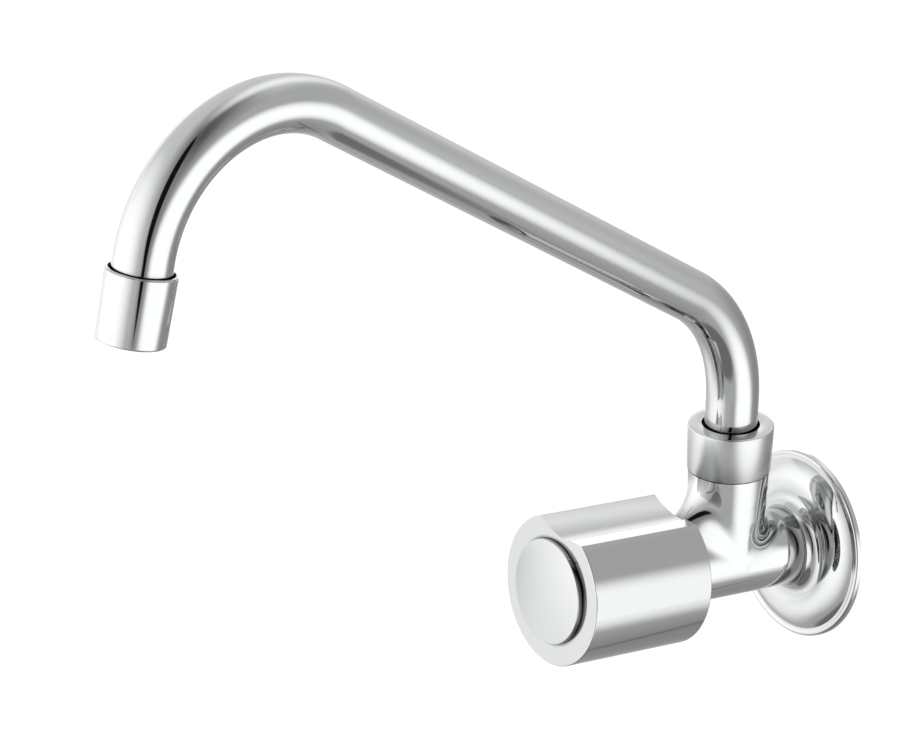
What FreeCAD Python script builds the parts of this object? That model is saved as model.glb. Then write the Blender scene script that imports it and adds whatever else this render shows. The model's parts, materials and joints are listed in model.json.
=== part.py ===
import FreeCAD, Part
import math
import os

# Wall-mounted sink tap with a quarter-turn valve and a swivel spout. Millimetres, +Z up.
# Origin: on the barrel's axis, in the plane of the wall. The tap stands out towards -Y.

# --- Driving dimensions ------------------------------------------------------------------------
# Stations along the barrel are distances from the wall. Stations along the neck and the spout's
# riser are heights above the barrel's axis, measured along the neck.

# Clearances
running_gap = 0.05        # radial, turned parts that run in a bore
thread_gap = 0.05         # radial, between mating threads
braze_gap = 0.05          # radial, tube in its brazed fittings
slip_gap = 0.05           # axial, between faces that slide
joint_line = 0.3          # visible line between two covers
groove_room = 0.3         # a ring's groove is this much wider than the ring
seal_gap = 0.02           # radial, between a sealing ring and the faces it seals
screw_hole_gap = 0.2      # radial, screw in its clearance hole
overshoot = 1.0           # how far a cutter or a fused foot reaches past its face

# Barrel and inlet
barrel_radius = 13.3
barrel_front = 62.0
barrel_back = 1.0
inlet_thread_radius = 10.4775
inlet_length = 15.0
inlet_bore = 7.0
inlet_bore_end = 24.0
inlet_taper = 2.0

# Neck
neck_from_wall = 33.5
neck_lean = 5.5
neck_top = 34.0
neck_root_step = 0.9      # the neck's root is this much slimmer than the barrel
neck_shoulder = 2.1       # from the spigot out to the neck's top
crotch_front_share = 0.9  # of the neck's height over the barrel: rounding on the knob's side
crotch_wall = 3.5         # rounding on the wall's side
neck_bore = 7.0
neck_bore_bottom = 17.0
spigot_wall = 2.0
spigot_top = 44.6
tail_wall = 0.9
tail_bore_bottom = 31.5
port_radius = 4.2
port_slope = 45.0
port_reach = 14.0

# Wall flange
flange_radius = 32.7
flange_sheet = 1.0
flange_hub_gap = 0.25
flange_hub_front = 8.8
flare_radius = 3.3
valley_depth = 4.7
bulge_radius = 12.5
land_radius = 30.0
land_depth = 2.0
lip_radius = 1.05
lip_drop = 0.9
lip_start_angle = 120.0

# Swivel nut
nut_top = 50.4
nut_step = 0.15           # the nut's foot stands this far outside the neck's top
nut_flare = 0.4
nut_hole_gap = 0.75       # radial, open ring round the tube
nut_lip = 3.0
nut_edge = 0.6
washer_sheet = 0.55
collar_step = 0.5         # the tail's collar is this much slimmer than the spigot

# Ceramic valve
seat_station = 38.0
chamber_wall = 2.3
bonnet_thread_wall = 3.05
chamber_front = 52.0
seal_thickness = 2.4
seal_width = 2.4
seat_port_step = 0.1
disc_thickness = 3.0
disc_gap = 0.1
port_inner_radius = 2.0
port_rim = 1.8
port_angle = 80.0
housing_step = 0.85       # the plain foot is this much slimmer than the thread
housing_wall = 1.3
housing_lift = 0.6
window_height = 4.2
window_angle = 100.0
window_margin = 0.4
bonnet_flange_step = 0.7
bonnet_flange_height = 1.2
hexagon_flats = 21.5
hexagon_height = 5.5
sleeve_radius = 7.4
sleeve_height = 4.0
bonnet_seal_wire = 0.65

# Spindle
spindle_radius = 4.95
spindle_foot_radius = 4.0
key_width = 4.0
key_rim = 1.5
key_depth = 1.2
key_height = 1.8
stop_flange_height = 1.0
stop_height = 1.4
stop_angle = 80.0
stop_slack = 1.0
stop_flange_gap = 0.3
stop_root = 0.2
valve_turn = 90.0
spindle_seal_wire = 0.75
spindle_seal_inset = 3.0
spindle_seal_spacing = 4.0
clip_sheet = 0.9
clip_groove_depth = 0.95
clip_width = 2.2
clip_opening = 70.0
spline_radius = 4.0
spline_teeth = 20
spline_depth = 0.4
spline_gap = 0.05
spline_length = 11.0
spline_runout = 1.0
spindle_end_gap = 0.3

# Knob
knob_radius = 25.3
knob_back = 58.75
knob_front = 106.3
knob_edge = 0.4
knob_wall = 2.8
knob_front_wall = 3.3
knob_web = 2.9
knob_boss_radius = 7.2
boss_engagement = 9.5
well_radius = 10.5
well_wall = 2.0
grip_start_angle = 114.5
grip_end_angle = 58.5
grip_floor = 20.1
grip_floor_side = 5.2
grip_step = 0.9
grip_step_width = 1.9
grip_sag_share = 0.06     # of the scoop's span
grip_step_sag = 0.15
grip_cutter_share = 1.3   # of the knob's radius

# Cap, screw and washer
cap_radius = 17.7
cap_gap = 0.1
cap_seat_depth = 1.0
cap_proud = 1.9
cap_dome = 1.2
cap_edge = 0.35
cap_skirt_depth = 6.5
cap_skirt_wall = 1.2
cap_sheet = 1.4
screw_radius = 2.0
screw_length = 12.0
screw_head_radius = 3.5
screw_head_height = 2.4
screw_head_edge = 0.5
screw_socket = 1.6
screw_socket_depth = 1.6
washer_radius = 4.6
washer_height = 0.8

# Spout
tube_radius = 9.0
tube_wall = 1.2
swing_at_rest = 7.4
riser_top = 60.2
lower_bend_radius = 51.6
arm_angle = 32.7
arm_length = 176.2
upper_bend_radius = 44.7
outlet_angle = -77.3
outlet_straight = 3.9
tail_end_gap = 1.5
socket_depth = 5.5
tail_flange = 1.5
tail_seal_wire = 0.72
tail_seal_inset = 2.1
tail_seal_spacing = 3.6

# Aerator, stations measured from the sleeve's top along the outflow
sleeve_step = 1.7         # the sleeve's top stands this far outside the tube
sleeve_taper = 0.3
sleeve_length = 20.9
sleeve_chamfer = 0.45
sleeve_foot_edge = 0.7
collar_wall = 0.65
collar_start = 1.5
tube_in_sleeve = 7.5
gasket_thickness = 1.6
insert_wall = 1.3
insert_plate = 1.6
jet_radius = 0.75
jet_count = 12
jet_inset = 3.4           # the circle of jets lies this far inside the tube's outside
ledge_inset = 0.8
ledge_height = 2.6
screen_sheet = 0.35
screen_pitch = 2.5
screen_hole = 1.7
screen_count = 3
screen_margin = 0.6

# --- Derived values ----------------------------------------------------------------------------

tail_bore = tube_radius + tail_wall
spigot_radius = tail_bore + spigot_wall
neck_root_radius = barrel_radius - neck_root_step
neck_top_radius = spigot_radius + neck_shoulder
crotch_front = crotch_front_share * (neck_top - barrel_radius)
nut_foot_radius = neck_top_radius + nut_step
nut_top_radius = nut_foot_radius + nut_flare
nut_hole_radius = tube_radius + nut_hole_gap
collar_radius = spigot_radius - collar_step

tail_radius = tail_bore - running_gap
tail_foot = tail_bore_bottom + tail_end_gap
tail_seal_lower = tail_foot + tail_seal_inset
tail_seal_upper = tail_seal_lower + tail_seal_spacing
tube_bore = tube_radius - tube_wall
washer_lower = spigot_top
collar_lower = washer_lower + washer_sheet + slip_gap
collar_upper = collar_lower + tail_flange
washer_upper = collar_upper + slip_gap
nut_lip_underside = nut_top - nut_lip
tube_foot = collar_upper - socket_depth

chamber_radius = barrel_radius - chamber_wall
housing_thread_radius = barrel_radius - bonnet_thread_wall
housing_radius = housing_thread_radius - housing_step
bonnet_flange_radius = barrel_radius - bonnet_flange_step
disc_pocket = housing_radius - housing_wall
disc_radius = disc_pocket - disc_gap
port_outer_radius = disc_radius - port_rim
seal_bore = disc_radius - seal_width
seat_port_radius = seal_bore - seat_port_step
key_length = 2 * (disc_radius - key_rim)
stop_flange_radius = disc_pocket - stop_flange_gap
fixed_disc_station = seat_station + seal_thickness
moving_disc_station = fixed_disc_station + disc_thickness
key_station = moving_disc_station + disc_thickness - key_depth
window_station = moving_disc_station + disc_thickness + window_margin
stop_flange_station = window_station + window_height + window_margin
stop_station = stop_flange_station + stop_flange_height
pocket_front = stop_station + stop_height + slip_gap
housing_back = seat_station + housing_lift
hexagon_station = barrel_front + bonnet_flange_height
sleeve_station = hexagon_station + hexagon_height
housing_front = sleeve_station + sleeve_height
spindle_bore = spindle_radius + running_gap
clip_station = housing_front + slip_gap
spline_station = clip_station + clip_sheet + spline_runout
spindle_front = spline_station + spline_length
socket_floor = spindle_front + spindle_end_gap
web_front = socket_floor + knob_web
knob_cavity = knob_radius - knob_wall
well_outer = well_radius + well_wall
washer_seat = web_front
cap_seat = knob_front - cap_seat_depth

sleeve_top_radius = tube_radius + sleeve_step
sleeve_foot_radius = sleeve_top_radius - sleeve_taper
ledge_bore = tube_radius - ledge_inset
jet_circle = tube_radius - jet_inset
collar_outer = tube_radius + braze_gap + collar_wall
sleeve_bore = collar_outer + thread_gap
insert_radius = sleeve_bore - braze_gap
gasket_station = tube_in_sleeve
insert_station = gasket_station + gasket_thickness
ledge_station = sleeve_length - ledge_height
screen_step = screen_sheet + slip_gap
screen_stack = ledge_station - screen_count * screen_step

# --- Frames ------------------------------------------------------------------------------------

def vector(x, y, z):
    return FreeCAD.Vector(x, y, z)

def turned_about_x(angle):
    return FreeCAD.Placement(vector(0, 0, 0), FreeCAD.Rotation(vector(1, 0, 0), angle))

# Local +Z of the barrel frame leads from the wall to the knob, and its +Y is up.
barrel_frame = turned_about_x(90)
neck_frame = FreeCAD.Placement(vector(0, -neck_from_wall, 0), turned_about_x(neck_lean).Rotation)
swing = FreeCAD.Placement(vector(0, 0, 0), FreeCAD.Rotation(vector(0, 0, 1), swing_at_rest))
spout_frame = neck_frame.multiply(swing)

def placed(shape, frame):
    moved = shape.copy()
    moved.Placement = frame.multiply(moved.Placement)
    return moved

# --- Shape helpers -----------------------------------------------------------------------------

def cylinder(radius, start, end):
    return Part.makeCylinder(radius, end - start, vector(0, 0, start))

def ring(outer, inner, start, end):
    return cylinder(outer, start, end).cut(cylinder(inner, start - overshoot, end + overshoot))

def cone(start_radius, end_radius, start, end):
    return Part.makeCone(start_radius, end_radius, end - start, vector(0, 0, start))

def o_ring(inner, wire_radius, station):
    return Part.makeTorus(inner + wire_radius, wire_radius, vector(0, 0, station))

def groove(outer, floor, station, width):
    return ring(outer + overshoot, floor, station - width / 2, station + width / 2)

def polygon_prism(points, start, end):
    corners = [vector(x, y, start) for x, y in points]
    face = Part.Face(Part.makePolygon(corners + corners[:1]))
    return face.extrude(vector(0, 0, end - start))

def sector(inner, outer, middle_angle, width_angle, start, end):
    """Part of a ring, width_angle wide about middle_angle."""
    body = Part.makeCylinder(outer, end - start, vector(0, 0, start), vector(0, 0, 1), width_angle)
    body.rotate(vector(0, 0, 0), vector(0, 0, 1), middle_angle - width_angle / 2)
    return body.cut(cylinder(inner, start - overshoot, end + overshoot))

def rounded(shape, radius, test):
    edges = [edge for edge in shape.Edges if test(edge)]
    return shape.makeFillet(radius, edges)

def ring_edge(radius, station):
    def test(edge):
        if edge.Degenerated or not isinstance(edge.Curve, Part.Circle):
            return False
        curve = edge.Curve
        same_radius = abs(curve.Radius - radius) < 1e-6
        return same_radius and abs(curve.Center.z - station) < 1e-6
    return test

def three_point_arc(start, middle, end):
    return Part.Arc(start, middle, end).toShape()

def arc_about(centre, radius, start_angle, end_angle):
    def at(angle):
        turn = math.radians(angle)
        return centre + vector(radius * math.cos(turn), 0, radius * math.sin(turn))
    return three_point_arc(at(start_angle), at((start_angle + end_angle) / 2), at(end_angle))

def joined_outline(edges):
    """Closes a run of arcs in the XZ plane with straight lines between their ends."""
    outline = []
    for edge, following in zip(edges, edges[1:] + edges[:1]):
        outline.append(edge)
        start = edge.lastVertex().Point
        end = following.firstVertex().Point
        if start.distanceToPoint(end) > 1e-6:
            outline.append(Part.makeLine(start, end))
    return outline

def revolved(outline):
    face = Part.Face(Part.Wire(outline))
    return face.revolve(vector(0, 0, 0), vector(0, 0, 1), 360)

# --- Fixed body --------------------------------------------------------------------------------

def body_outside():
    """The crotch's rounding widens evenly from the wall's side to the knob's, so one half of the tee
    is rounded and then mirrored. The barrel starts long, because the wide end runs past its front."""
    long_barrel = placed(cylinder(barrel_radius, barrel_back, barrel_front + crotch_front), barrel_frame)
    neck = placed(cone(neck_root_radius, neck_top_radius, 0, neck_top), neck_frame)
    reach = barrel_front + 2 * crotch_front
    right_side = Part.makeBox(reach, reach, 2 * reach, vector(0, -reach, -reach))
    half = long_barrel.fuse(neck).common(right_side)

    def crotch(edge):
        curved = not isinstance(edge.Curve, (Part.Line, Part.Circle))
        return curved and 0 < edge.BoundBox.ZMax < neck_top / 2

    crotch_edges = sorted(filter(crotch, half.Edges), key=lambda edge: edge.BoundBox.YMin)
    half = half.makeFillet(crotch_front, crotch_wall, crotch_edges[:1])
    half = half.common(placed(cylinder(reach, barrel_back, barrel_front), barrel_frame))
    tee = half.fuse(half.mirror(vector(0, 0, 0), vector(1, 0, 0))).removeSplitter()
    spigot = placed(cylinder(spigot_radius, neck_top - overshoot, spigot_top), neck_frame)
    inlet = placed(cylinder(inlet_thread_radius, -inlet_length, barrel_back + overshoot), barrel_frame)
    return tee.fuse([spigot, inlet])

def body_waterways():
    barrel_cuts = [
        cylinder(inlet_bore, -inlet_length - overshoot, inlet_bore_end),
        cone(inlet_bore, seat_port_radius, inlet_bore_end, inlet_bore_end + inlet_taper),
        cylinder(seat_port_radius, inlet_bore_end + inlet_taper / 2, seat_station + overshoot),
        cylinder(chamber_radius, seat_station, chamber_front),
        cylinder(housing_thread_radius + thread_gap, chamber_front - overshoot, barrel_front + overshoot),
        ring(housing_thread_radius + 2 * bonnet_seal_wire + groove_room, housing_thread_radius,
             barrel_front - 2 * bonnet_seal_wire, barrel_front + overshoot),
    ]
    neck_cuts = [
        cylinder(tail_bore, tail_bore_bottom, spigot_top + overshoot),
        cylinder(neck_bore, neck_bore_bottom, tail_bore_bottom + overshoot),
    ]
    port = cylinder(port_radius, 0, port_reach)
    port_start = neck_frame.multVec(vector(0, 0, neck_bore_bottom))
    port_frame = FreeCAD.Placement(port_start, turned_about_x(90 + port_slope).Rotation)
    cuts = [placed(cut, barrel_frame) for cut in barrel_cuts]
    cuts += [placed(cut, neck_frame) for cut in neck_cuts]
    return cuts + [placed(port, port_frame)]

def valve_body():
    body = body_outside()
    for cut in body_waterways():
        body = body.cut(cut)
    return body

def flange_arcs(sheet):
    """Flare and bulge of the ogee, seen in the (radius, distance from wall) plane. The two arcs
    touch. A positive sheet gives the parallel inner surface."""
    hub_radius = barrel_radius + flange_hub_gap + flange_sheet
    flare_centre = vector(hub_radius + flare_radius, 0, valley_depth + flare_radius)
    landing = vector(land_radius, 0, land_depth)
    apart = landing - flare_centre
    reach = flare_radius + bulge_radius
    inward = (apart.Length ** 2 + reach ** 2 - bulge_radius ** 2) / (2 * apart.Length)
    aside = math.sqrt(reach ** 2 - inward ** 2)
    direction = apart / apart.Length
    bulge_centre = flare_centre + direction * inward + vector(direction.z, 0, -direction.x) * aside
    toward = bulge_centre - flare_centre
    meeting = math.degrees(math.atan2(toward.z, toward.x))
    rise = land_depth - sheet - bulge_centre.z
    land_angle = math.degrees(math.asin(rise / (bulge_radius - sheet)))
    flare = arc_about(flare_centre, flare_radius + sheet, -180, meeting)
    bulge = arc_about(bulge_centre, bulge_radius - sheet, meeting + 180, land_angle)
    return flare, bulge

def wall_flange():
    flare, bulge = flange_arcs(0)
    inner_flare, inner_bulge = flange_arcs(flange_sheet)
    hub_bore = barrel_radius + flange_hub_gap
    edge_centre = vector(hub_bore + flange_sheet / 2, 0, flange_hub_front - flange_sheet / 2)
    hub_edge = arc_about(edge_centre, flange_sheet / 2, 180, 0)
    lip_centre = vector(flange_radius - lip_radius, 0, land_depth - lip_drop)
    lip = arc_about(lip_centre, lip_radius, lip_start_angle, 0)
    foot_outer = vector(flange_radius, 0, 0)
    foot_inner = vector(flange_radius - 2 * lip_radius, 0, 0)
    foot = Part.makeLine(foot_outer, foot_inner)
    back_land = Part.makeLine(foot_inner + vector(0, 0, land_depth - flange_sheet),
                              inner_bulge.lastVertex().Point)
    inner_bulge = reversed_edge(inner_bulge)
    inner_flare = reversed_edge(inner_flare)
    outline = joined_outline([hub_edge, flare, bulge, lip, foot, back_land, inner_bulge, inner_flare])
    return placed(revolved(outline), barrel_frame)

def reversed_edge(arc):
    start = arc.lastVertex().Point
    end = arc.firstVertex().Point
    first, last = arc.ParameterRange
    return three_point_arc(start, arc.valueAt((first + last) / 2), end)

def swivel_nut():
    nut = cone(nut_foot_radius, nut_top_radius, neck_top + joint_line, nut_top)
    nut = rounded(nut, nut_edge, ring_edge(nut_top_radius, nut_top))
    nut = nut.cut(cylinder(spigot_radius + thread_gap, neck_top, nut_lip_underside))
    nut = nut.cut(cylinder(nut_hole_radius, neck_top, nut_top + overshoot))
    return placed(nut, neck_frame)

def thrust_washer():
    washer = ring(collar_radius, tail_bore, washer_lower, washer_lower + washer_sheet)
    return placed(washer, neck_frame)

def slip_washer():
    washer = ring(collar_radius, nut_hole_radius, washer_upper, washer_upper + washer_sheet)
    return placed(washer, neck_frame)

# --- Ceramic valve -----------------------------------------------------------------------------

def hexagon(flats, start, end):
    corner = flats / math.sqrt(3)
    angles = [math.radians(60 * index) for index in range(6)]
    return polygon_prism([(corner * math.cos(a), corner * math.sin(a)) for a in angles], start, end)

def cartridge_housing():
    housing = cylinder(housing_radius, housing_back, chamber_front + overshoot)
    housing = housing.fuse([
        cylinder(housing_thread_radius, chamber_front + overshoot, barrel_front),
        cylinder(bonnet_flange_radius, barrel_front, hexagon_station),
        hexagon(hexagon_flats, hexagon_station, sleeve_station),
        cylinder(sleeve_radius, sleeve_station, housing_front),
    ])
    housing = housing.cut(cylinder(disc_pocket, housing_back - overshoot, pocket_front))
    housing = housing.cut(cylinder(spindle_bore, pocket_front - overshoot, housing_front + overshoot))
    for side in (0, 180):
        window = sector(disc_pocket - overshoot, housing_radius + overshoot, side + 90, window_angle,
                        window_station, window_station + window_height)
        housing = housing.cut(window)
    stop = sector(spindle_bore + running_gap, disc_pocket + stop_root, -90, stop_angle,
                  stop_station + slip_gap, pocket_front + stop_root)
    return placed(housing.fuse(stop).removeSplitter(), barrel_frame)

def housing_o_ring():
    station = barrel_front - bonnet_seal_wire
    return placed(o_ring(housing_thread_radius + seal_gap, bonnet_seal_wire, station), barrel_frame)

def seat_seal():
    return placed(ring(disc_radius, seal_bore, seat_station, fixed_disc_station), barrel_frame)

def ported_disc(station, first_port):
    disc = cylinder(disc_radius, station, station + disc_thickness)
    for side in (0, 180):
        port = sector(port_inner_radius, port_outer_radius, first_port + side, port_angle,
                      station - overshoot, station + disc_thickness + overshoot)
        disc = disc.cut(port)
    return disc

def fixed_ceramic_disc():
    return placed(ported_disc(fixed_disc_station, 0), barrel_frame)

def key_bar(length, width, start, end):
    return Part.makeBox(length, width, end - start, vector(-length / 2, -width / 2, start))

def moving_ceramic_disc():
    disc = ported_disc(moving_disc_station, valve_turn)
    slot_length = 2 * (disc_radius + overshoot)
    slot_width = key_width + 2 * running_gap
    slot = key_bar(slot_length, slot_width, key_station, key_station + key_depth + overshoot)
    return placed(disc.cut(slot), barrel_frame)

# --- Spindle -----------------------------------------------------------------------------------

def spline_outline(radius, depth):
    """Corner points of a toothed round section, one crest and one root for each tooth."""
    points = []
    for index in range(2 * spline_teeth):
        reach = radius if index % 2 == 0 else radius - depth
        angle = math.pi * index / spline_teeth
        points.append((reach * math.cos(angle), reach * math.sin(angle)))
    return points

def spindle_seal_stations():
    first = pocket_front + spindle_seal_inset
    return [first, first + spindle_seal_spacing]

def spindle():
    body = key_bar(key_length, key_width, key_station, key_station + key_depth + key_height)
    stop_width = 360 - stop_angle - valve_turn - 2 * stop_slack
    stop_middle = -90 + stop_angle / 2 + stop_slack + stop_width / 2
    body = body.fuse([
        cylinder(spindle_foot_radius, key_station + key_depth + slip_gap, stop_station),
        cylinder(stop_flange_radius, stop_flange_station, stop_station),
        sector(spindle_foot_radius, stop_flange_radius, stop_middle, stop_width,
               stop_station, pocket_front - slip_gap),
        cylinder(spindle_radius, stop_flange_station, spline_station),
        polygon_prism(spline_outline(spline_radius, spline_depth), spline_station, spindle_front),
    ])
    for station in spindle_seal_stations():
        floor = spindle_bore - 2 * spindle_seal_wire - seal_gap
        body = body.cut(groove(spindle_radius, floor, station, 2 * spindle_seal_wire + groove_room))
    clip_middle = clip_station + clip_sheet / 2
    body = body.cut(groove(spindle_radius, spindle_radius - clip_groove_depth, clip_middle,
                           clip_sheet + slip_gap))
    hole_depth = screw_length + overshoot
    hole = cylinder(screw_radius + thread_gap, spindle_front - hole_depth, spindle_front + overshoot)
    body = body.cut(hole)
    return placed(body, barrel_frame)

def spindle_o_rings():
    inner = spindle_bore - 2 * spindle_seal_wire - seal_gap / 2
    rings = [o_ring(inner, spindle_seal_wire, station) for station in spindle_seal_stations()]
    return placed(Part.makeCompound(rings), barrel_frame)

def spindle_circlip():
    inner = spindle_radius - clip_groove_depth + seal_gap
    clip = ring(inner + clip_width, inner, clip_station + slip_gap / 2, clip_station + clip_sheet)
    opening = sector(spindle_radius / 2, inner + clip_width + overshoot, 0, clip_opening,
                     clip_station - overshoot, clip_station + clip_sheet + overshoot)
    return placed(clip.cut(opening), barrel_frame)

# --- Knob --------------------------------------------------------------------------------------

def grip_cutter():
    """The finger scoop: a shallow arc that ends in a small step up to a flat ledge."""
    def on_rim(angle, reach):
        turn = math.radians(angle)
        return vector(reach * math.cos(turn), reach * math.sin(turn), knob_back - overshoot)
    start = on_rim(grip_start_angle, knob_radius)
    end = on_rim(grip_end_angle, knob_radius)
    floor = vector(grip_floor_side, grip_floor, knob_back - overshoot)
    step = floor + vector(grip_step_width, grip_step, 0)
    across = floor - start
    sag = grip_sag_share * across.Length
    middle = (start + floor) * 0.5 + vector(across.y, -across.x, 0).normalize() * sag
    outward = vector(grip_step, -grip_step_width, 0).normalize()
    rise_middle = (floor + step) * 0.5 + outward * grip_step_sag
    above_end = on_rim(grip_end_angle, grip_cutter_share * knob_radius)
    above_start = on_rim(grip_start_angle, grip_cutter_share * knob_radius)
    outline = [
        three_point_arc(start, middle, floor),
        three_point_arc(floor, rise_middle, step),
        Part.makeLine(step, end),
        Part.makeLine(end, above_end),
        Part.makeLine(above_end, above_start),
        Part.makeLine(above_start, start),
    ]
    face = Part.Face(Part.Wire(outline))
    return face.extrude(vector(0, 0, knob_front - knob_back + 2 * overshoot))

def handle_knob():
    knob = cylinder(knob_radius, knob_back, knob_front)
    for station in (knob_back, knob_front):
        knob = rounded(knob, knob_edge, ring_edge(knob_radius, station))
    knob = knob.cut(grip_cutter())
    cavity = cylinder(knob_cavity, knob_back - overshoot, knob_front - knob_front_wall)
    cavity = cavity.cut(grip_cutter().translated(vector(0, -knob_wall, 0)))
    cavity = cavity.cut(cylinder(well_outer, socket_floor, knob_front))
    boss = cylinder(knob_boss_radius, spindle_front - boss_engagement, socket_floor + overshoot)
    knob = knob.cut(cavity).fuse(boss)
    knob = knob.cut(cylinder(well_radius, web_front, knob_front + overshoot))
    knob = knob.cut(cylinder(cap_radius + cap_gap, cap_seat, knob_front + overshoot))
    socket = spline_outline(spline_radius + spline_gap, spline_depth)
    knob = knob.cut(polygon_prism(socket, spindle_front - boss_engagement - overshoot, socket_floor))
    hole = cylinder(screw_radius + screw_hole_gap, socket_floor - overshoot, web_front + overshoot)
    return placed(knob.cut(hole), barrel_frame)

def handle_cap():
    top = knob_front + cap_proud
    dome_radius = (cap_radius ** 2 + cap_dome ** 2) / (2 * cap_dome)
    dome = Part.makeSphere(dome_radius, vector(0, 0, top + cap_dome - dome_radius))
    cap = cylinder(cap_radius, cap_seat, top + cap_dome).common(dome)
    cap = rounded(cap, cap_edge, ring_edge(cap_radius, top))
    cap = cap.cut(cylinder(cap_radius - cap_sheet, cap_seat - overshoot, top - cap_sheet))
    skirt_radius = well_radius - cap_gap
    skirt = ring(skirt_radius, skirt_radius - cap_skirt_wall, cap_seat - cap_skirt_depth,
                 top - cap_sheet / 2)
    return placed(cap.fuse(skirt), barrel_frame)

def screw_washer():
    hole_radius = screw_radius + screw_hole_gap
    washer = ring(washer_radius, hole_radius, washer_seat, washer_seat + washer_height)
    return placed(washer, barrel_frame)

def handle_screw():
    under_head = washer_seat + washer_height
    head_top = under_head + screw_head_height
    head = cylinder(screw_head_radius, under_head, head_top)
    head = rounded(head, screw_head_edge, ring_edge(screw_head_radius, head_top))
    screw = head.fuse(cylinder(screw_radius, under_head - screw_length, under_head + screw_head_edge))
    socket = hexagon(2 * screw_socket, head_top - screw_socket_depth, head_top + overshoot)
    return placed(screw.cut(socket), barrel_frame)

# --- Spout -------------------------------------------------------------------------------------

def along(angle):
    """Unit vector in the spout's plane: 0 degrees is forwards, 90 degrees is up."""
    turn = math.radians(angle)
    return vector(0, -math.cos(turn), math.sin(turn))

def bend(start, from_angle, to_angle, radius):
    """An arc that starts at a point in one direction and turns down to the other."""
    centre = start + along(from_angle - 90) * radius
    middle = centre + along((from_angle + to_angle) / 2 + 90) * radius
    end = centre + along(to_angle + 90) * radius
    return three_point_arc(start, middle, end), end

def spout_path():
    foot = vector(0, 0, tube_foot)
    riser_end = vector(0, 0, riser_top)
    lower_bend, arm_start = bend(riser_end, 90, arm_angle, lower_bend_radius)
    arm_end = arm_start + along(arm_angle) * arm_length
    upper_bend, outlet_start = bend(arm_end, arm_angle, outlet_angle, upper_bend_radius)
    tube_end = outlet_start + along(outlet_angle) * (outlet_straight + tube_in_sleeve)
    edges = [
        Part.makeLine(foot, riser_end),
        lower_bend,
        Part.makeLine(arm_start, arm_end),
        upper_bend,
        Part.makeLine(outlet_start, tube_end),
    ]
    return Part.Wire(edges), outlet_start + along(outlet_angle) * outlet_straight

spout_line, sleeve_start = spout_path()

def swept(radius, path):
    circle = Part.Wire(Part.makeCircle(radius, vector(0, 0, tube_foot), vector(0, 0, 1)))
    return path.makePipeShell([circle], True, False)

def spout_tube():
    tube = swept(tube_radius, spout_line).cut(swept(tube_bore, spout_line))
    return placed(tube, spout_frame)

def spout_tail():
    tail = cylinder(tail_radius, tail_foot, collar_upper)
    tail = tail.fuse(cylinder(collar_radius, collar_lower, collar_upper))
    tail = tail.cut(cylinder(tube_bore, tail_foot - overshoot, tube_foot + overshoot))
    tail = tail.cut(cylinder(tube_radius + braze_gap, tube_foot, collar_upper + overshoot))
    floor = tail_bore - 2 * tail_seal_wire - 2 * seal_gap
    for station in (tail_seal_lower, tail_seal_upper):
        tail = tail.cut(groove(tail_radius, floor, station, 2 * tail_seal_wire + groove_room))
    return placed(tail, spout_frame)

def spout_o_rings():
    inner = tail_bore - 2 * tail_seal_wire - seal_gap
    rings = [o_ring(inner, tail_seal_wire, station) for station in (tail_seal_lower, tail_seal_upper)]
    return placed(Part.makeCompound(rings), spout_frame)

# --- Aerator -----------------------------------------------------------------------------------

# Local +Z of the outlet frame leads out of the spout, from the sleeve's top.
sleeve_place = FreeCAD.Placement(sleeve_start, turned_about_x(90 - outlet_angle).Rotation)
outlet_frame = spout_frame.multiply(sleeve_place)

def outlet_collar():
    collar = ring(collar_outer, tube_radius + braze_gap, collar_start, tube_in_sleeve)
    return placed(collar, outlet_frame)

def aerator_housing():
    sleeve = cone(sleeve_top_radius, sleeve_foot_radius, 0, sleeve_length)
    is_top_edge = ring_edge(sleeve_top_radius, 0)
    sleeve = sleeve.makeChamfer(sleeve_chamfer, [edge for edge in sleeve.Edges if is_top_edge(edge)])
    sleeve = rounded(sleeve, sleeve_foot_edge, ring_edge(sleeve_foot_radius, sleeve_length))
    sleeve = sleeve.cut(cylinder(sleeve_bore, -overshoot, ledge_station))
    sleeve = sleeve.cut(cylinder(ledge_bore, ledge_station - overshoot, sleeve_length + overshoot))
    return placed(sleeve, outlet_frame)

def aerator_gasket():
    gasket = ring(insert_radius, tube_bore, gasket_station, insert_station)
    return placed(gasket, outlet_frame)

def aerator_insert():
    insert = cylinder(insert_radius, insert_station, screen_stack)
    cup_bore = insert_radius - insert_wall
    insert = insert.cut(cylinder(cup_bore, insert_station + insert_plate, screen_stack + overshoot))
    for index in range(jet_count):
        turn = 2 * math.pi * index / jet_count
        place = vector(jet_circle * math.cos(turn), jet_circle * math.sin(turn), insert_station - overshoot)
        insert = insert.cut(Part.makeCylinder(jet_radius, insert_plate + 2 * overshoot, place))
    return placed(insert, outlet_frame)

def screen(station):
    """A disc with a square grid of holes, all cut as one face."""
    limit = ledge_bore - screen_margin
    steps = int(limit // screen_pitch)
    holes = []
    for column in range(-steps, steps + 1):
        for row in range(-steps, steps + 1):
            x = column * screen_pitch
            y = row * screen_pitch
            if math.hypot(abs(x) + screen_hole / 2, abs(y) + screen_hole / 2) < limit:
                corner = vector(x - screen_hole / 2, y - screen_hole / 2, station - overshoot)
                height = screen_sheet + 2 * overshoot
                holes.append(Part.makeBox(screen_hole, screen_hole, height, corner))
    return cylinder(insert_radius, station, station + screen_sheet).cut(holes)

def aerator_screens():
    first = screen_stack + slip_gap
    screens = [screen(first + index * screen_step) for index in range(screen_count)]
    return placed(Part.makeCompound(screens), outlet_frame)

# --- Writing the parts -------------------------------------------------------------------------

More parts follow.
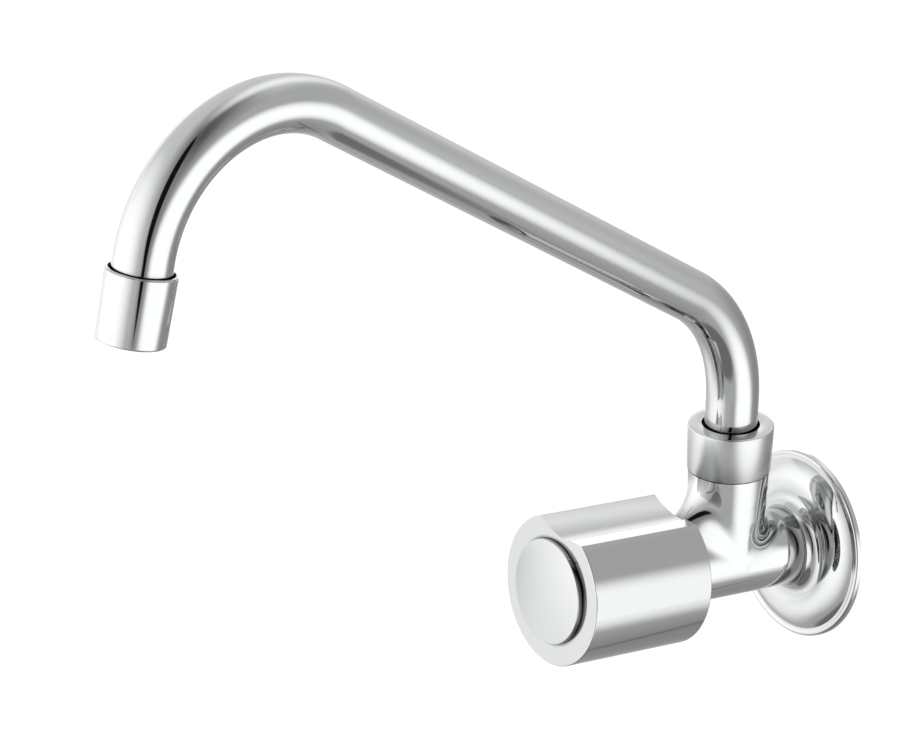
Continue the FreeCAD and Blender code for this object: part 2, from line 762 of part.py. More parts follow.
nodes = [
    valve_body, wall_flange, swivel_nut, thrust_washer, slip_washer,
    cartridge_housing, housing_o_ring, seat_seal, fixed_ceramic_disc, moving_ceramic_disc,
    spindle, spindle_o_rings, spindle_circlip,
    handle_knob, handle_cap, screw_washer, handle_screw,
    spout_tube, spout_tail, spout_o_rings,
    outlet_collar, aerator_housing, aerator_gasket, aerator_insert, aerator_screens,
]

os.makedirs("parts", exist_ok=True)
for node in nodes:
    shape = node()
    shape.exportStep("parts/" + node.__name__ + ".step")
    print(node.__name__, len(shape.Solids), "solid(s), valid", shape.isValid(),
          "volume", round(shape.Volume, 1))
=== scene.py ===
import bpy
import json
import math
from mathutils import Matrix, Vector


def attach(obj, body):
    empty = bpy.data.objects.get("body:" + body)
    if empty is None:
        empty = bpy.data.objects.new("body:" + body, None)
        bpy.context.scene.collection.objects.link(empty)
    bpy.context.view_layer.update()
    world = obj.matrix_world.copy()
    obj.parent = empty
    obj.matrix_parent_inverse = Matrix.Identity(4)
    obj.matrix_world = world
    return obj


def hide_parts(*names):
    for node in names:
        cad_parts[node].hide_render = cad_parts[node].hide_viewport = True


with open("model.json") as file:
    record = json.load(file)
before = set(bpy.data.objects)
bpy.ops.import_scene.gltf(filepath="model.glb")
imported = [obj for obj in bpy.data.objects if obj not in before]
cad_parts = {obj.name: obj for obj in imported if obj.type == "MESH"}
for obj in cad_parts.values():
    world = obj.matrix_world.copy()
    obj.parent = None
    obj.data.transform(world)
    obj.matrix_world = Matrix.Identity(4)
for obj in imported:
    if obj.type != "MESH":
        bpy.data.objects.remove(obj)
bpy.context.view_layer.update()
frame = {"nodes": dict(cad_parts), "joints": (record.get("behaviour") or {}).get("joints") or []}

# A commercial wall tap: T body, wall flange, quarter-turn valve with a scooped knob, and a long
# swivel spout. Metres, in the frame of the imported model: +Z up, and the tap stands out towards -Y.

# --- Cast body -----------------------------------------------------------------------------------
# The T is one brass casting: inlet tail, barrel and neck, turned where it seals and chrome plated.
# The outside is the frame's own surface, evened and rounded in the crotch the way a polishing belt
# leaves it. What is turned stays as it is, but for the tail, which gets its thread's root size.

mm = 0.001
# Within this distance two places count as one.
near = 0.01 * mm
crease_angle = math.radians(30)
barrel_frame = Matrix(((1, 0, 0, 0), (0, 0, -1, 0), (0, 1, 0, 0), (0, 0, 0, 1)))


def linear(code):
    """Turns an sRGB hex colour into the linear colour that a shader takes."""
    channels = [int(code[i:i + 2], 16) / 255 for i in (1, 3, 5)]
    return [c / 12.92 if c <= 0.04045 else ((c + 0.055) / 1.055) ** 2.4 for c in channels] + [1.0]


def add_node(tree, kind, links=None, values=None, **settings):
    """Adds one shader node with its properties, its input values and the sockets that feed it."""
    node = tree.nodes.new(kind)
    for name, value in settings.items():
        setattr(node, name, value)
    for name, value in (values or {}).items():
        node.inputs[name].default_value = value
    for name, source in (links or {}).items():
        tree.links.new(source, node.inputs[name])
    return node


def finish_with(piece, material):
    """Gives a piece one finish all over."""
    piece.data.materials.clear()
    piece.data.materials.append(material)


# Polished chrome plate over brass: near-mirror, with a haze of wiping marks in patches of about
# 15 mm and polishing waves some 5 mm long and far under a micron high. Corners within 16 mm of
# another surface get painted shade: their colour is darkened towards #3a3b3c.
polished_chrome = bpy.data.materials.new("polished_chrome_plate")
polished_chrome.use_nodes = True
tree = polished_chrome.node_tree
chrome = tree.nodes["Principled BSDF"]
chrome.inputs["Metallic"].default_value = 1.0
place = add_node(tree, "ShaderNodeTexCoord")
haze = add_node(tree, "ShaderNodeTexNoise", {"Vector": place.outputs["Object"]},
                {"Scale": 1 / (15 * mm), "Detail": 3.0})
amount = add_node(tree, "ShaderNodeMapRange", {"Value": haze.outputs["Fac"]},
                  {"To Min": 0.035, "To Max": 0.075})
waves = add_node(tree, "ShaderNodeTexNoise", {"Vector": place.outputs["Object"]},
                 {"Scale": 1 / (5 * mm), "Detail": 1.0})
bump = add_node(tree, "ShaderNodeBump", {"Height": waves.outputs["Fac"]},
                {"Strength": 0.3, "Distance": 0.0005 * mm})
# Painted shade: the chrome's colour is darkened where ambient occlusion finds other surfaces close.
corner = add_node(tree, "ShaderNodeAmbientOcclusion", values={"Distance": 16 * mm}, samples=8)
painted_corner_shade = add_node(tree, "ShaderNodeMapRange", {"Value": corner.outputs["AO"]},
                {"From Min": 0.25, "From Max": 0.8, "To Min": 1.0, "To Max": 0.0})
plate_colour_and_painted_shade = add_node(tree, "ShaderNodeMix", {0: painted_corner_shade.outputs["Result"]},
                 {6: linear("#c6c7c7"), 7: linear("#3a3b3c")}, data_type="RGBA")
tree.links.new(plate_colour_and_painted_shade.outputs[2], chrome.inputs["Base Color"])
tree.links.new(amount.outputs["Result"], chrome.inputs["Roughness"])
tree.links.new(bump.outputs["Normal"], chrome.inputs["Normal"])

barrel_radius = 13.3 * mm
neck_radius = 12.4 * mm
belt_reach = 9.0 * mm
belt_pressure = 1.6
thread_radius = 10.4775 * mm
thread_depth = 1.162 * mm
barrel_front = 62.0 * mm
barrel_back = 1.0 * mm
neck_top = 34.0 * mm
waterway_start = 5 * mm
spigot_radius = 11.9 * mm
end_allowance = 5 * mm


def place_matrix(x_axis, y_axis, z_axis, origin):
    """The matrix that carries what is drawn at the origin to a place with the given axes."""
    rows = [(x_axis[i], y_axis[i], z_axis[i], origin[i]) for i in range(3)]
    return Matrix(rows + [(0, 0, 0, 1)])


swivel = next(joint for joint in frame["joints"] if joint["name"] == "spout_swivel")
neck_axis = Vector(swivel["axis"]).normalized()
neck_right = Vector((1, 0, 0))
neck_place = Vector(swivel["pos_m"])
neck_frame = place_matrix(neck_right, neck_axis.cross(neck_right), neck_axis, neck_place)


def is_cast_skin(point):
    """True for the ground and polished outside: barrel, neck and the crotch between them."""
    neck_point = neck_frame.inverted() @ point
    from_neck = math.hypot(neck_point.x, neck_point.y)
    outside = math.hypot(point.x, point.z) > barrel_radius - 10 * near
    inside_neck = neck_point.z > waterway_start and from_neck < spigot_radius + 5 * near
    between = -barrel_front + near < point.y < -barrel_back - near
    return outside and between and not inside_neck and neck_point.z < neck_top - 2 * near


def is_tail_side(point):
    """True on the rim and side of the inlet tail, the plain cylinder behind the barrel."""
    from_axis = math.hypot(point.x, point.z)
    return point.y > -barrel_back - near and abs(from_axis - thread_radius) < 5 * near


def belt_rounding(point):
    """How strongly the belt rounds a point: fully in the wall-side corner, not at all 9 mm off."""
    neck_point = neck_frame.inverted() @ point
    off_barrel = math.hypot(point.x, point.z) - barrel_radius
    off_neck = math.hypot(neck_point.x, neck_point.y) - neck_radius
    share = 1 - max(off_barrel, off_neck, 0) / belt_reach
    return min(1.0, belt_pressure * share) if neck_point.y > 0 and point.z > 0 else 0.0


def copied_node(name, new_name):
    """Copies a node's mesh and welds its loose triangles."""
    node = frame["nodes"][name]
    piece = bpy.data.objects.new(new_name, node.data.copy())
    bpy.context.collection.objects.link(piece)
    bpy.ops.object.select_all(action="DESELECT")
    piece.select_set(True)
    bpy.context.view_layer.objects.active = piece
    bpy.ops.object.mode_set(mode="EDIT")
    bpy.ops.mesh.select_all(action="SELECT")
    bpy.ops.mesh.remove_doubles(threshold=0.002 * mm)
    bpy.ops.mesh.customdata_custom_splitnormals_clear()
    bpy.ops.object.mode_set(mode="OBJECT")
    return piece


def select_faces(piece, test):
    """Selects the faces whose middle passes a test, and leaves the piece in edit mode."""
    bpy.ops.object.mode_set(mode="EDIT")
    bpy.ops.mesh.select_mode(type="FACE")
    bpy.ops.mesh.select_all(action="DESELECT")
    bpy.ops.object.mode_set(mode="OBJECT")
    for face in piece.data.polygons:
        face.select = test(face.center)
    bpy.ops.object.mode_set(mode="EDIT")


def select_edges(piece, test):
    """Selects the edges whose two ends pass a test, and leaves the piece in edit mode."""
    bpy.ops.object.mode_set(mode="EDIT")
    bpy.ops.mesh.select_mode(type="EDGE")
    bpy.ops.mesh.select_all(action="DESELECT")
    bpy.ops.object.mode_set(mode="OBJECT")
    mesh = piece.data
    for edge in mesh.edges:
        edge.select = all(test(mesh.vertices[index].co) for index in edge.vertices)
    bpy.ops.object.mode_set(mode="EDIT")


machined = copied_node("valve_body", "machined_inside")
select_edges(machined, is_tail_side)
root_share = (thread_radius - thread_depth) / thread_radius
bpy.ops.transform.resize(value=(root_share, 1, root_share), center_override=(0, 0, 0))
bpy.ops.object.mode_set(mode="OBJECT")
select_faces(machined, is_cast_skin)
bpy.ops.mesh.separate(type="SELECTED")
bpy.ops.object.mode_set(mode="OBJECT")
skin = next(piece for piece in bpy.context.selected_objects if piece != machined)
bpy.ops.object.select_all(action="DESELECT")
skin.select_set(True)
bpy.context.view_layer.objects.active = skin
ends = [
    (lambda point: point.y < -barrel_front + near, Vector((0, -1, 0)), barrel_front),
    (lambda point: point.y > -barrel_back - near, Vector((0, 1, 0)), -barrel_back),
    (lambda point: (neck_frame.inverted() @ point).z > neck_top - near, neck_axis,
     neck_top + neck_axis.dot(neck_place)),
]
for at_end, outwards, reach in ends:
    select_edges(skin, at_end)
    bpy.ops.mesh.extrude_region_move(
        TRANSFORM_OT_translate={"value": outwards * end_allowance})
    bpy.ops.mesh.edge_face_add()
bpy.ops.object.mode_set(mode="OBJECT")
even = skin.modifiers.new("even mesh", "REMESH")
even.mode = "VOXEL"
even.voxel_size = 0.45 * mm
bpy.ops.object.modifier_apply(modifier=even.name)
ground = skin.modifiers.new("ground by hand", "SMOOTH")
ground.factor = 0.5
ground.iterations = 60
bpy.ops.object.modifier_apply(modifier=ground.name)
corner = skin.vertex_groups.new(name="corner")
for vertex in skin.data.vertices:
    if belt_rounding(vertex.co) > 0:
        corner.add([vertex.index], belt_rounding(vertex.co), "REPLACE")
belt = skin.modifiers.new("rounded by the belt", "SMOOTH")
belt.factor = 0.8
belt.iterations = 500
belt.vertex_group = "corner"
bpy.ops.object.modifier_apply(modifier=belt.name)
for at_end, outwards, reach in ends:
    bpy.ops.object.mode_set(mode="EDIT")
    bpy.ops.mesh.select_all(action="SELECT")
    bpy.ops.mesh.bisect(plane_co=outwards * reach, plane_no=outwards, clear_outer=True)
bpy.ops.object.mode_set(mode="OBJECT")
machined.select_set(True)
bpy.context.view_layer.objects.active = machined
bpy.ops.object.join()
machined.name = "cast_body"
bpy.ops.object.shade_smooth_by_angle(angle=crease_angle)
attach(machined, "tap_body")
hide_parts("valve_body")
finish_with(machined, polished_chrome)

# --- Wall flange ---------------------------------------------------------------------------------
# A cover plate spun from 1 mm sheet. Its feathered hub hugs the barrel and flares into a valley,
# then the sheet rises to a round bulge, drops to a flat land and ends in a lip on the wall.


def start_section(point):
    """Begins a line drawing with a single vertex. A plane is collapsed to its middle for it."""
    bpy.ops.object.select_all(action="DESELECT")
    bpy.ops.mesh.primitive_plane_add(size=mm)
    bpy.ops.object.mode_set(mode="EDIT")
    bpy.ops.mesh.select_mode(type="VERT")
    bpy.ops.mesh.select_all(action="SELECT")
    bpy.ops.mesh.merge(type="CENTER")
    bpy.ops.transform.translate(value=point)
    return Vector(point)


def lines_to(pen, *corners):
    """Draws straight lines from the pen through corners, each given as its radius and height."""
    for radius, height in corners:
        corner = Vector((radius, 0, height))
        bpy.ops.mesh.extrude_region_move(TRANSFORM_OT_translate={"value": corner - pen})
        pen = corner
    return pen


def arc_to(pen, centre, axis, angle, steps):
    """Draws an arc from the pen by spinning the last vertex about a centre."""
    turn = Matrix.Rotation(angle, 3, Vector(axis))
    bpy.ops.mesh.spin(steps=steps, angle=-angle, center=centre, axis=axis)
    return Vector(centre) + turn @ (pen - Vector(centre))


def close_and_turn(steps):
    """Turns the drawn section once round the Z axis and welds it."""
    bpy.ops.mesh.select_all(action="SELECT")
    bpy.ops.mesh.spin(steps=steps, angle=2 * math.pi, center=(0, 0, 0), axis=(0, 0, 1))
    bpy.ops.mesh.select_all(action="SELECT")
    bpy.ops.mesh.remove_doubles(threshold=0.001 * mm)
    bpy.ops.mesh.normals_make_consistent(inside=False)


def place_piece(name, where, body):
    """Leaves edit mode, moves the new mesh to its place and hangs the piece on its body."""
    bpy.ops.object.mode_set(mode="OBJECT")
    piece = bpy.context.object
    piece.name = name
    piece.data.transform(where)
    bpy.ops.object.shade_smooth_by_angle(angle=crease_angle)
    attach(piece, body)
    return piece


hub_gap = 0.03 * mm
flange_bore = barrel_radius + hub_gap
flange_sheet = 1.0 * mm
hub_edge = 0.06 * mm
flare_radius = 4.1 * mm
valley_depth = 4.7 * mm
bulge_radius = 12.5 * mm
land_radius = 30.0 * mm
land_depth = 2.0 * mm
flange_radius = 32.7 * mm
lip_radius = 1.05 * mm
lip_height = 1.1 * mm
lip_start = math.radians(120)
rise_start = 0.6 * mm

hub_foot = valley_depth + 0.5 * flange_sheet
lip_centre = Vector((flange_radius - lip_radius, 0, lip_height))
lip_edge = lip_centre + Vector((math.cos(lip_start), 0, math.sin(lip_start))) * lip_radius
# The bulge's arc touches the flare's and ends at the land's edge, which gives its centre.
flare_centre = Vector((flange_bore + hub_edge + flare_radius, 0, valley_depth + flare_radius))
landing = Vector((land_radius, 0, land_depth))
apart = landing - flare_centre
reach = flare_radius + bulge_radius
inward = (apart.length ** 2 + reach ** 2 - bulge_radius ** 2) / (2 * apart.length)
aside = math.sqrt(reach ** 2 - inward ** 2)
across = apart.normalized()
bulge_centre = flare_centre + across * inward + Vector((across.z, 0, -across.x)) * aside
meeting = math.atan2(bulge_centre.z - flare_centre.z, bulge_centre.x - flare_centre.x)
landing_angle = math.asin((land_depth - bulge_centre.z) / bulge_radius)
anticlockwise = (0, -1, 0)
clockwise = (0, 1, 0)

pen = start_section((flange_bore, 0, hub_foot))
pen = lines_to(pen, (flange_bore, flare_centre.z), (flange_bore + hub_edge, flare_centre.z))
pen = arc_to(pen, flare_centre, anticlockwise, math.pi + meeting, steps=32)
pen = arc_to(pen, bulge_centre, clockwise, math.pi + meeting - landing_angle, steps=40)
pen = lines_to(pen, (lip_edge.x, lip_edge.z))
pen = arc_to(pen, lip_centre, clockwise, lip_start, steps=16)
pen = lines_to(pen,
               (flange_radius, 0),
               (flange_radius - 2 * lip_radius, 0),
               (flange_radius - 2 * lip_radius, land_depth - flange_sheet),
               (land_radius - rise_start, land_depth - flange_sheet),
               (bulge_centre.x, bulge_centre.z + bulge_radius - flange_sheet),
               (flare_centre.x, valley_depth - flange_sheet),
               (flange_bore, hub_foot))
close_and_turn(steps=192)
flange = place_piece("spun_wall_flange", barrel_frame, "tap_body")
finish_with(flange, polished_chrome)
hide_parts("wall_flange")

# --- Inlet thread --------------------------------------------------------------------------------
# The tail's pipe thread, G 1/2, cut with a die: 1.814 mm pitch, 1.162 mm deep, right-handed, with
# flattened crests. It screws into the supply elbow in the wall. Its ridge is one closed coil, sunk
# a little into the tail.

thread_pitch = 1.814 * mm
thread_turns = 7.5
steps_per_turn = 48
crest_half = 0.1 * mm
shoulder_half = 0.24 * mm
shoulder_drop = 0.13 * mm
ridge_half = 0.755 * mm
ridge_sunk = 0.05 * mm
thread_start = -14.1 * mm
shoulder_radius = thread_radius - shoulder_drop
ridge_foot = thread_radius - thread_depth - ridge_sunk

pen = start_section((ridge_foot, 0, thread_start - ridge_half))
pen = lines_to(pen,
               (shoulder_radius, thread_start - shoulder_half),
               (thread_radius, thread_start - crest_half),
               (thread_radius, thread_start + crest_half),
               (shoulder_radius, thread_start + shoulder_half),
               (ridge_foot, thread_start + ridge_half),
               (ridge_foot, thread_start - ridge_half))
bpy.ops.mesh.select_all(action="SELECT")
bpy.ops.mesh.remove_doubles(threshold=0.001 * mm)
bpy.ops.object.mode_set(mode="OBJECT")
winding = bpy.context.object.modifiers.new("die", "SCREW")
winding.angle = 2 * math.pi * thread_turns
winding.screw_offset = thread_pitch * thread_turns
winding.steps = round(steps_per_turn * thread_turns)
winding.use_merge_vertices = False
bpy.ops.object.modifier_apply(modifier=winding.name)
bpy.ops.object.mode_set(mode="EDIT")
bpy.ops.mesh.select_all(action="SELECT")
bpy.ops.mesh.fill_holes(sides=0)
bpy.ops.mesh.normals_make_consistent(inside=False)
thread = place_piece("die_cut_inlet_thread", barrel_frame, "tap_body")
finish_with(thread, polished_chrome)

# --- Seals and ceramic discs ---------------------------------------------------------------------
# A rubber seal presses the fixed disc against the moving one, and the two lapped faces shut the
# water off. One more ring seals the headwork in the body.


def finish_node(name, material):
    """Gives a node of the frame its finish. Its shape is left alone."""
    frame["nodes"][name].material_slots[0].material = material


# Moulded EPDM: black and dull, with a fine moulding grain of about 0.3 mm.
moulded_rubber = bpy.data.materials.new("moulded_epdm_rubber")
moulded_rubber.use_nodes = True
tree = moulded_rubber.node_tree
rubber = tree.nodes["Principled BSDF"]
rubber.inputs["Base Color"].default_value = linear("#1b1b1c")
place = add_node(tree, "ShaderNodeTexCoord")
grain = add_node(tree, "ShaderNodeTexNoise", {"Vector": place.outputs["Object"]},
                 {"Scale": 1 / (0.3 * mm), "Detail": 3.0})
amount = add_node(tree, "ShaderNodeMapRange", {"Value": grain.outputs["Fac"]},
                  {"To Min": 0.45, "To Max": 0.75})
bump = add_node(tree, "ShaderNodeBump", {"Height": grain.outputs["Fac"]},
                {"Strength": 0.4, "Distance": 0.01 * mm})
tree.links.new(amount.outputs["Result"], rubber.inputs["Roughness"])
tree.links.new(bump.outputs["Normal"], rubber.inputs["Normal"])
for name in ("seat_seal", "housing_o_ring", "spindle_o_rings", "spout_o_rings", "aerator_gasket"):
    finish_node(name, moulded_rubber)

# Lapped alumina: a warm white body with faint sintering clouds some 3 mm wide, lapped to a shine.
lapped_alumina = bpy.data.materials.new("lapped_alumina_ceramic")
lapped_alumina.use_nodes = True
tree = lapped_alumina.node_tree
ceramic = tree.nodes["Principled BSDF"]
place = add_node(tree, "ShaderNodeTexCoord")
clouds = add_node(tree, "ShaderNodeTexNoise", {"Vector": place.outputs["Object"]},
                  {"Scale": 1 / (3 * mm), "Detail": 4.0})
body = add_node(tree, "ShaderNodeMix", {0: clouds.outputs["Fac"]},
                {6: linear("#efece4"), 7: linear("#e2ded3")}, data_type="RGBA")
amount = add_node(tree, "ShaderNodeMapRange", {"Value": clouds.outputs["Fac"]},
                  {"To Min": 0.08, "To Max": 0.2})
tree.links.new(body.outputs[2], ceramic.inputs["Base Color"])
tree.links.new(amount.outputs["Result"], ceramic.inputs["Roughness"])
ceramic.inputs["IOR"].default_value = 1.76
for name in ("fixed_ceramic_disc", "moving_ceramic_disc"):
    finish_node(name, lapped_alumina)

# --- Headwork and spindle ------------------------------------------------------------------------
# The headwork screws into the barrel and carries the spindle, which a circlip holds back. Both are
# turned from brass bar and left unplated.

# Turned brass: yellow metal with tool marks 0.25 mm apart round the barrel's line.
turned_brass = bpy.data.materials.new("turned_brass_unplated")
turned_brass.use_nodes = True
tree = turned_brass.node_tree
brass = tree.nodes["Principled BSDF"]
brass.inputs["Base Color"].default_value = linear("#d0b06a")
brass.inputs["Metallic"].default_value = 1.0
place = add_node(tree, "ShaderNodeTexCoord")
tool_marks = add_node(tree, "ShaderNodeTexWave", {"Vector": place.outputs["Object"]},
                      {"Scale": math.pi / 10 / (0.25 * mm), "Distortion": 0.5, "Detail": 1.0},
                      bands_direction="Y")
amount = add_node(tree, "ShaderNodeMapRange", {"Value": tool_marks.outputs["Fac"]},
                  {"To Min": 0.2, "To Max": 0.34})
bump = add_node(tree, "ShaderNodeBump", {"Height": tool_marks.outputs["Fac"]},
                {"Strength": 0.4, "Distance": 0.004 * mm})
tree.links.new(amount.outputs["Result"], brass.inputs["Roughness"])
tree.links.new(bump.outputs["Normal"], brass.inputs["Normal"])
finish_node("cartridge_housing", turned_brass)
finish_node("spindle", turned_brass)

# Stainless steel: bright rolled and stamped metal with short scratches, 0.1 mm by 3 mm.
rolled_stainless = bpy.data.materials.new("rolled_stainless_steel")
rolled_stainless.use_nodes = True
tree = rolled_stainless.node_tree
steel = tree.nodes["Principled BSDF"]
steel.inputs["Base Color"].default_value = linear("#c0bfbc")
steel.inputs["Metallic"].default_value = 1.0
place = add_node(tree, "ShaderNodeTexCoord")
stretch = add_node(tree, "ShaderNodeMapping", {"Vector": place.outputs["Object"]},
                   {"Scale": (1 / (3 * mm), 1 / (0.1 * mm), 1 / (0.1 * mm))})
scratches = add_node(tree, "ShaderNodeTexNoise", {"Vector": stretch.outputs["Vector"]},
                     {"Scale": 1.0, "Detail": 2.0})
amount = add_node(tree, "ShaderNodeMapRange", {"Value": scratches.outputs["Fac"]},
                  {"To Min": 0.18, "To Max": 0.36})
tree.links.new(amount.outputs["Result"], steel.inputs["Roughness"])
for name in ("spindle_circlip", "handle_screw", "screw_washer"):
    finish_node(name, rolled_stainless)

# --- Slip rings ----------------------------------------------------------------------------------
# Two rings, one under and one over the tail's collar, let the spout swing without wear.

# PTFE: waxy white plastic, skived from a rod, so its faces keep shallow marks 0.5 mm apart.
skived_ptfe = bpy.data.materials.new("skived_ptfe")
skived_ptfe.use_nodes = True
tree = skived_ptfe.node_tree
ptfe = tree.nodes["Principled BSDF"]
ptfe.inputs["Base Color"].default_value = linear("#efefea")
ptfe.inputs["IOR"].default_value = 1.35
place = add_node(tree, "ShaderNodeTexCoord")
knife_marks = add_node(tree, "ShaderNodeTexWave", {"Vector": place.outputs["Object"]},
                       {"Scale": math.pi / 10 / (0.5 * mm), "Distortion": 1.0, "Detail": 2.0})
amount = add_node(tree, "ShaderNodeMapRange", {"Value": knife_marks.outputs["Fac"]},
                  {"To Min": 0.35, "To Max": 0.5})
tree.links.new(amount.outputs["Result"], ptfe.inputs["Roughness"])
finish_node("thrust_washer", skived_ptfe)
finish_node("slip_washer", skived_ptfe)

# --- Spout tail ----------------------------------------------------------------------------------
# A turned end brazed into the tube. Its collar swivels under the nut, and only a rim of it
# shows in the gap between the nut and the tube, dark with oxide and painted shade.

# Brazed brass: torch oxide, brown to black in 4 mm clouds, kept this dark as painted shade in gaps.
brazed_brass = bpy.data.materials.new("brazed_brass_oxide_and_painted_shade")
brazed_brass.use_nodes = True
tree = brazed_brass.node_tree
brass = tree.nodes["Principled BSDF"]
brass.inputs["Metallic"].default_value = 0.6
place = add_node(tree, "ShaderNodeTexCoord")
clouds = add_node(tree, "ShaderNodeTexNoise", {"Vector": place.outputs["Object"]},
                  {"Scale": 1 / (4 * mm), "Detail": 4.0})
# Painted shade: the near-black colour stands for the shade in the gaps where this brass shows.
oxide_and_painted_shade_colour = add_node(tree, "ShaderNodeMix", {0: clouds.outputs["Fac"]},
                       {6: linear("#2a2521"), 7: linear("#4a3d2e")}, data_type="RGBA")
amount = add_node(tree, "ShaderNodeMapRange", {"Value": clouds.outputs["Fac"]},
                  {"To Min": 0.45, "To Max": 0.65})
tree.links.new(oxide_and_painted_shade_colour.outputs[2], brass.inputs["Base Color"])
tree.links.new(amount.outputs["Result"], brass.inputs["Roughness"])
finish_node("spout_tail", brazed_brass)
finish_node("outlet_collar", brazed_brass)

# --- Swivel nut ----------------------------------------------------------------------------------
# A plain round nut turned from bar. It screws down over the neck's spigot and holds the spout's
# collar between two slip rings, and a dark joint line shows where it meets the casting.


def select_ring(radius, height):
    """Selects the ring of edges at one radius and height of a piece that is still on the Z axis."""
    bpy.ops.mesh.select_mode(type="EDGE")
    bpy.ops.mesh.select_all(action="DESELECT")
    bpy.ops.object.mode_set(mode="OBJECT")
    mesh = bpy.context.object.data
    for edge in mesh.edges:
        ends = [mesh.vertices[index].co for index in edge.vertices]
        edge.select = all(abs(math.hypot(end.x, end.y) - radius) < near
                          and abs(end.z - height) < near for end in ends)
    bpy.ops.object.mode_set(mode="EDIT")


nut_foot = 34.3 * mm
nut_top = 50.4 * mm
nut_foot_radius = 14.15 * mm
nut_top_radius = 14.55 * mm
nut_hole = 9.75 * mm
nut_thread = 11.95 * mm
nut_lip = 3.0 * mm

pen = start_section((nut_foot_radius, 0, nut_foot))
pen = lines_to(pen,
               (nut_top_radius, nut_top),
               (nut_hole, nut_top),
               (nut_hole, nut_top - nut_lip),
               (nut_thread, nut_top - nut_lip),
               (nut_thread, nut_foot),
               (nut_foot_radius, nut_foot))
close_and_turn(steps=160)
select_ring(nut_top_radius, nut_top)
bpy.ops.mesh.bevel(offset=0.6 * mm, segments=5)
select_ring(nut_hole, nut_top)
bpy.ops.mesh.bevel(offset=0.25 * mm, segments=3)
select_ring(nut_foot_radius, nut_foot)
bpy.ops.mesh.bevel(offset=0.15 * mm, segments=2)
nut = place_piece("turned_swivel_nut", neck_frame, "tap_body")

# Satin chrome: the nut's side keeps the fine marks of its lathe tool, 0.4 mm apart so that they
# show, and they blur what the plate mirrors. Its top face is polished, so it stays smooth there.
satin_chrome = bpy.data.materials.new("satin_chrome_plate")
satin_chrome.use_nodes = True
tree = satin_chrome.node_tree
chrome = tree.nodes["Principled BSDF"]
chrome.inputs["Base Color"].default_value = linear("#c9caca")
chrome.inputs["Metallic"].default_value = 1.0
place = add_node(tree, "ShaderNodeTexCoord")
tool_marks = add_node(tree, "ShaderNodeTexWave", {"Vector": place.outputs["Object"]},
                      {"Scale": math.pi / 10 / (0.4 * mm), "Distortion": 0.4, "Detail": 1.0},
                      bands_direction="Z")
facing = add_node(tree, "ShaderNodeNewGeometry")
upwards = add_node(tree, "ShaderNodeSeparateXYZ", {"Vector": facing.outputs["Normal"]})
amount = add_node(tree, "ShaderNodeMapRange", {"Value": upwards.outputs["Z"]},
                  {"From Min": 0.3, "From Max": 0.9, "To Min": 0.3, "To Max": 0.08})
bump = add_node(tree, "ShaderNodeBump", {"Height": tool_marks.outputs["Fac"]},
                {"Strength": 0.3, "Distance": 0.002 * mm})
tree.links.new(amount.outputs["Result"], chrome.inputs["Roughness"])
tree.links.new(bump.outputs["Normal"], chrome.inputs["Normal"])
finish_with(nut, satin_chrome)
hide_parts("swivel_nut")

# --- Knob ----------------------------------------------------------------------------------------
# A hollow zinc die casting, polished and plated. A shallow finger scoop runs along its top and ends
# in a small step, and a splined boss inside sits on the spindle.

# Buffed chrome over zinc: the knob is buffed on a soft wheel, so it mirrors less sharply than the
# pipe, with faint wheel marks about 0.5 mm apart and 40 mm long that run along it. Corners within
# 2 mm of another surface, such as the cap's seat, get painted shade, darkened towards #3a3b3c.
buffed_chrome = bpy.data.materials.new("buffed_chrome_plate")
buffed_chrome.use_nodes = True
tree = buffed_chrome.node_tree
chrome = tree.nodes["Principled BSDF"]
chrome.inputs["Metallic"].default_value = 1.0
place = add_node(tree, "ShaderNodeTexCoord")
stretch = add_node(tree, "ShaderNodeMapping", {"Vector": place.outputs["Object"]},
                   {"Scale": (1 / (0.5 * mm), 1 / (40 * mm), 1 / (0.5 * mm))})
wheel_marks = add_node(tree, "ShaderNodeTexNoise", {"Vector": stretch.outputs["Vector"]},
                       {"Scale": 1.0, "Detail": 2.0})
amount = add_node(tree, "ShaderNodeMapRange", {"Value": wheel_marks.outputs["Fac"]},
                  {"To Min": 0.07, "To Max": 0.12})
# Painted shade: the colour is darkened where ambient occlusion finds another surface within 2 mm.
corner = add_node(tree, "ShaderNodeAmbientOcclusion", values={"Distance": 2 * mm}, samples=8)
painted_corner_shade = add_node(tree, "ShaderNodeMapRange", {"Value": corner.outputs["AO"]},
                {"From Min": 0.5, "From Max": 0.85, "To Min": 1.0, "To Max": 0.0})
plate_colour_and_painted_shade = add_node(tree, "ShaderNodeMix", {0: painted_corner_shade.outputs["Result"]},
                 {6: linear("#bebfbf"), 7: linear("#3a3b3c")}, data_type="RGBA")
tree.links.new(plate_colour_and_painted_shade.outputs[2], chrome.inputs["Base Color"])
tree.links.new(amount.outputs["Result"], chrome.inputs["Roughness"])
finish_node("handle_knob", buffed_chrome)

# --- Knob cap ------------------------------------------------------------------------------------
# A domed button that snaps into the knob's front and hides the screw. It is polished and bare.

knob_front = 106.3 * mm
cap_seat = knob_front - 1.0 * mm
cap_top = knob_front + 1.9 * mm
cap_radius = 17.7 * mm
cap_wall = 1.4 * mm
cap_dome = 1.2 * mm
snap_ring_radius = 10.4 * mm
snap_ring_bore = 9.2 * mm
snap_ring_foot = cap_seat - 6.5 * mm
dome_radius = (cap_radius ** 2 + cap_dome ** 2) / (2 * cap_dome)
dome_centre = (0, 0, cap_top + cap_dome - dome_radius)
dome_angle = math.asin(cap_radius / dome_radius)

